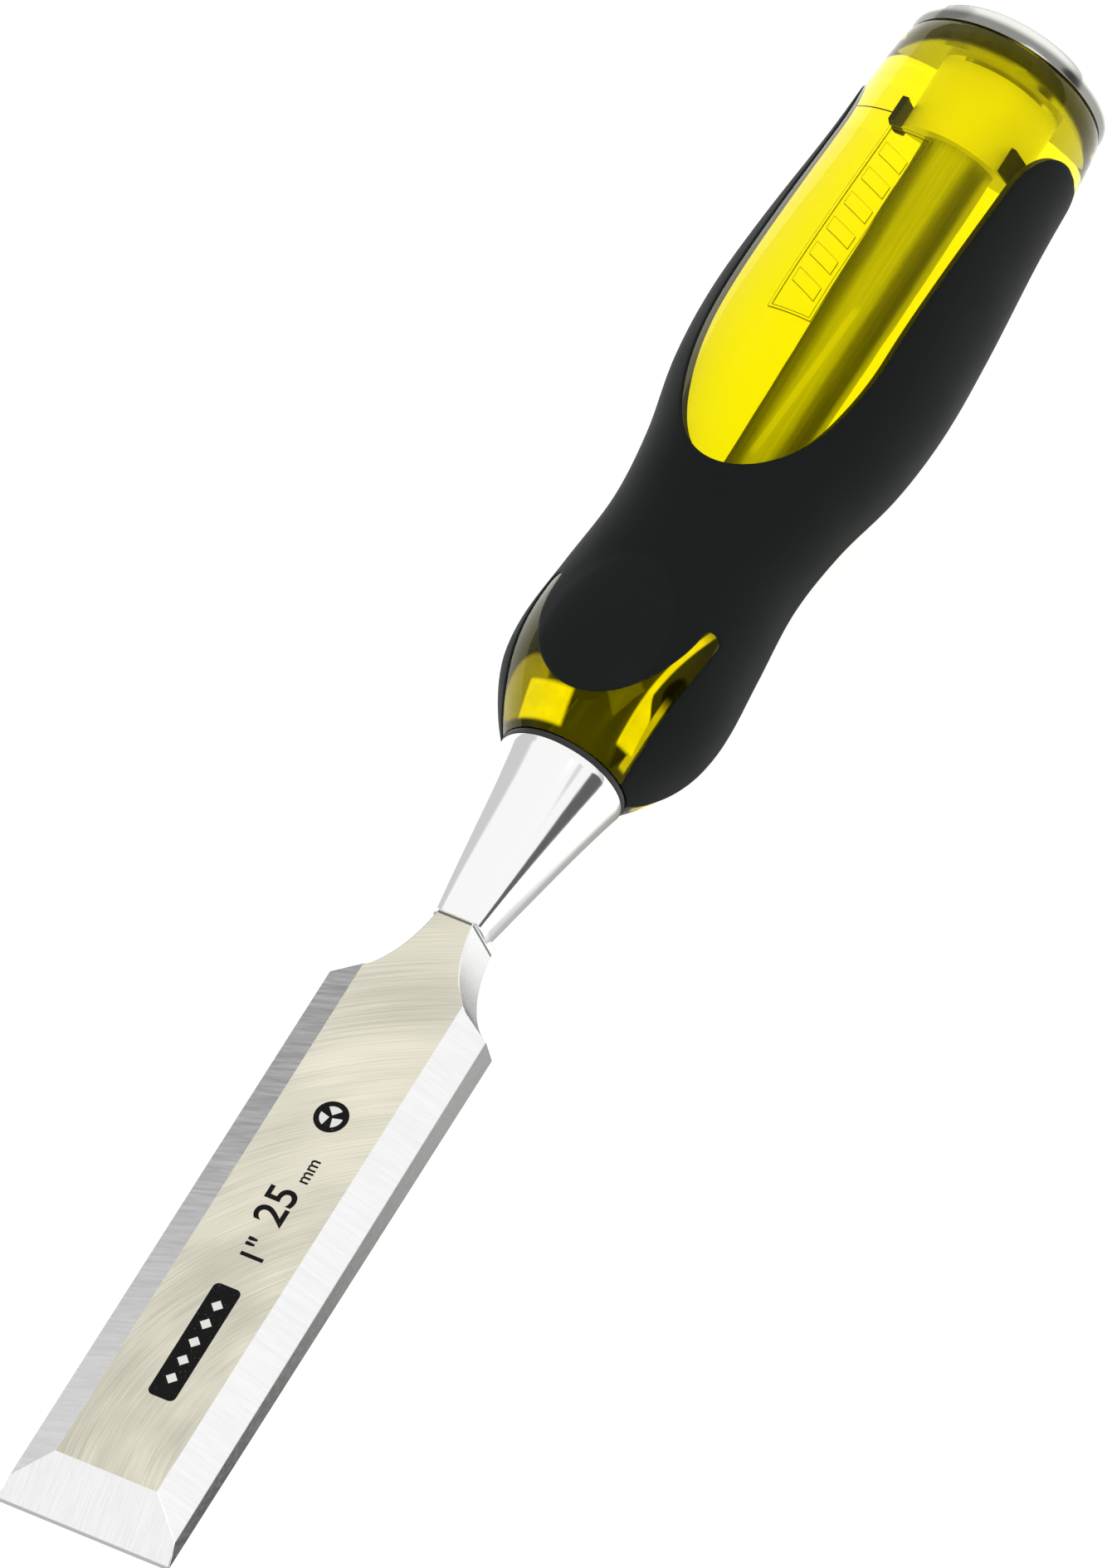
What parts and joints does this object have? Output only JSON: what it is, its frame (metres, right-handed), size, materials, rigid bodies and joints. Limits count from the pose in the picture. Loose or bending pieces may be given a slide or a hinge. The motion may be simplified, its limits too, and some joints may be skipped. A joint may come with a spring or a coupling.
{
  "type": "bench chisel",
  "caption": "Bevel-edge wood chisel with a forged blade and bolster, a clear handle core, a soft overmoulded grip and a steel strike cap.",
  "frame": {"origin": "under the middle of the tool's box, on the surface that the handle's belly rests on", "axes": "+X along the tool towards the cutting edge, +Z out of the bevelled face, +Y to the right when looking at that face with the edge down"},
  "size_m": [0.241, 0.0344, 0.0345],
  "materials": {
    "forged_steel": "ground blade, polished bolster",
    "washer_black": "matte",
    "clear_yellow": "clear, polished",
    "grip_black": "soft matte",
    "plug_yellow": "opaque, satin",
    "cap_steel": "polished, domed"
  },
  "bodies": {
    "root": {"blade_forging": "forged_steel", "bolster_washer": "washer_black", "handle_core": "clear_yellow", "grip": "grip_black", "end_plug": "plug_yellow", "strike_cap": "cap_steel"}
  },
  "joints": []
}
